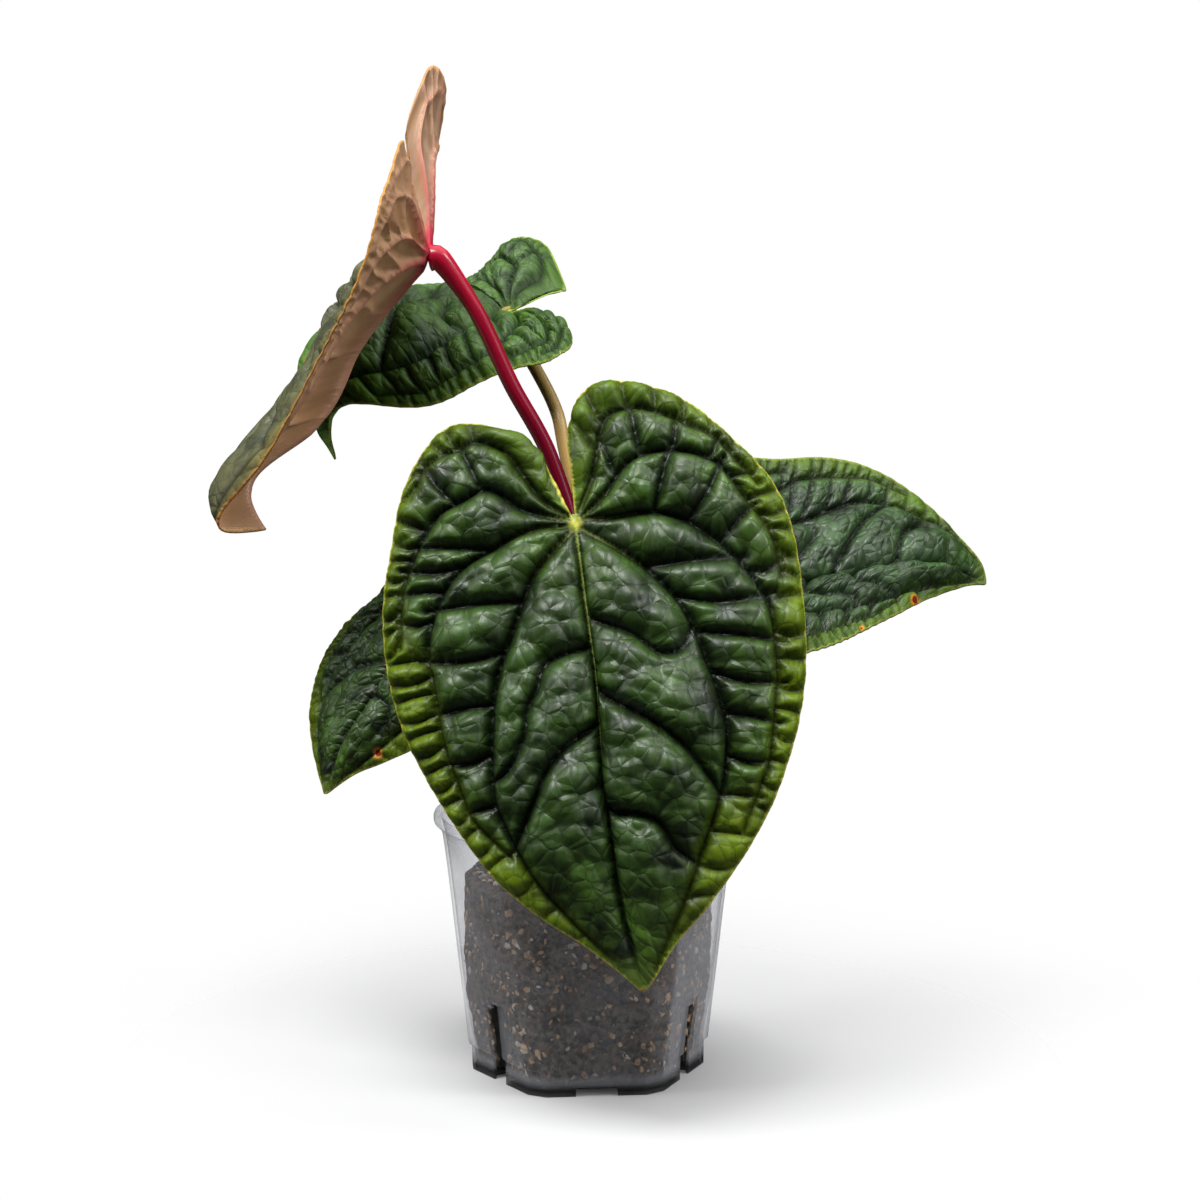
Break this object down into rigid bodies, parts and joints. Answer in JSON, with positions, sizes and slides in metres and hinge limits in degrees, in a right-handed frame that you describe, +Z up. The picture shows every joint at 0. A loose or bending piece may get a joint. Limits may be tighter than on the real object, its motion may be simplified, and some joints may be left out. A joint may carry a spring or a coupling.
{
  "type": "potted anthurium luxurians",
  "caption": "Young aroid with quilted heart-shaped leaves on bare stalks, growing from a bark mix in a clear tapered nursery pot.",
  "frame": {"origin": "middle of the pot's underside, where the pot stands", "axes": "+Z up, the front leaf faces -Y, +X to the right seen from the front"},
  "size_m": [0.301, 0.1993, 0.3873],
  "materials": {
    "clear_plastic": "gloss",
    "bark_mix": "matte",
    "stem_bark": "matte",
    "green_stalk": "satin",
    "crimson_stalk": "satin",
    "olive_stalk": "satin",
    "green_blade": "satin",
    "bronze_blade": "satin"
  },
  "bodies": {
    "root": {"pot": "clear_plastic", "substrate": "bark_mix", "stem": "stem_bark", "petiole_front": "green_stalk", "petiole_new": "crimson_stalk", "petiole_back": "olive_stalk", "petiole_side": "green_stalk", "petiole_low": "green_stalk", "leaf_front": "green_blade", "leaf_new": "bronze_blade", "leaf_back": "green_blade", "leaf_side": "green_blade", "leaf_low": "green_blade"}
  },
  "joints": []
}
